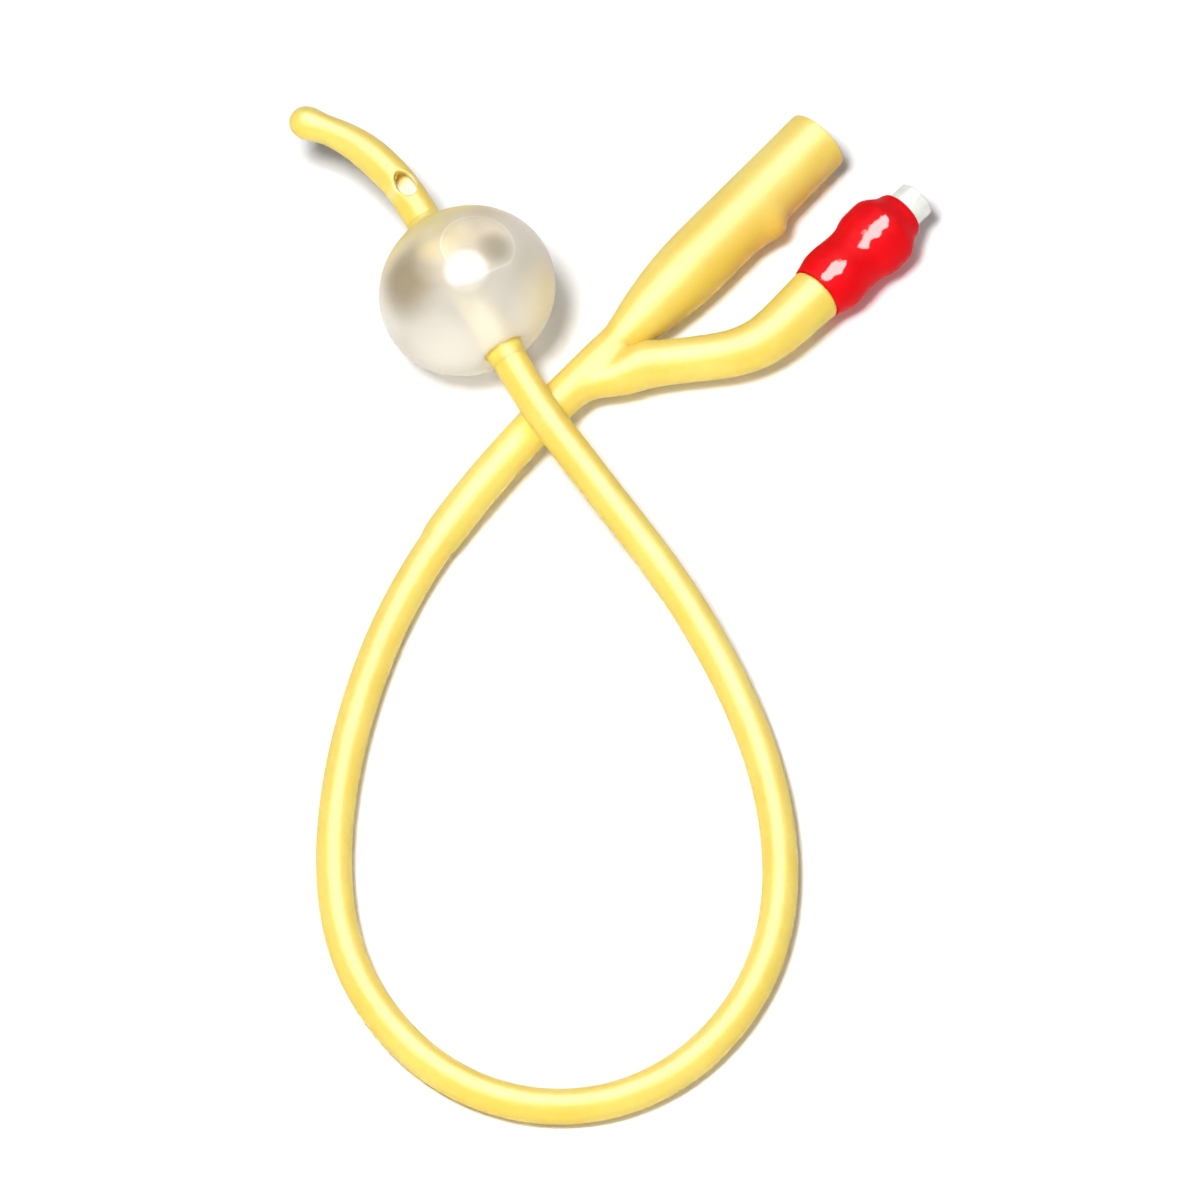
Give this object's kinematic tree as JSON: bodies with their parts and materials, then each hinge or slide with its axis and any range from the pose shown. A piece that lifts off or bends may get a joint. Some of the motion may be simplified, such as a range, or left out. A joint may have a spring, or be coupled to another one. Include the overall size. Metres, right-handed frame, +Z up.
{
  "type": "foley urinary catheter",
  "caption": "Two-way latex urinary catheter with an inflated retention balloon, curved olive tip, Y funnel and a sleeved inflation valve, its shaft lying in one loose loop.",
  "frame": {"origin": "on the table under the middle of the whole part, as it lies", "axes": "+X along the drainage funnel and out of its mouth, +Z up from the table, +Y to the left of the funnel seen from above"},
  "size_m": [0.1603, 0.1487, 0.0267],
  "materials": {
    "shaft_latex": "smooth satin dipped latex, amber yellow",
    "balloon_film": "thin stretched latex film, glossy and translucent, cream",
    "funnel_latex": "smooth satin moulded latex, amber yellow",
    "sleeve_rubber": "glossy stretched rubber, red",
    "valve_plastic": "moulded plastic, warm white",
    "tail_plastic": "moulded plastic, warm white",
    "stem_plastic": "moulded plastic, white",
    "seal_rubber": "moulded rubber, dark",
    "spring_steel": "drawn stainless wire"
  },
  "bodies": {
    "root": {"shaft": "shaft_latex", "balloon": "balloon_film", "y_funnel": "funnel_latex", "valve_sleeve": "sleeve_rubber", "valve_body": "valve_plastic", "valve_tail": "tail_plastic", "valve_spring": "spring_steel"},
    "stem": {"valve_stem": "stem_plastic", "valve_seal": "seal_rubber"}
  },
  "joints": [
    {"name": "stem_push", "type": "slide", "parent": "root", "child": "stem", "axis": [-0.9995, 0.0314, 0], "range_m": [0, 0.0015], "stiffness_N_per_m": 400, "springref_m": -0.002, "deforming": ["valve_spring"]}
  ]
}
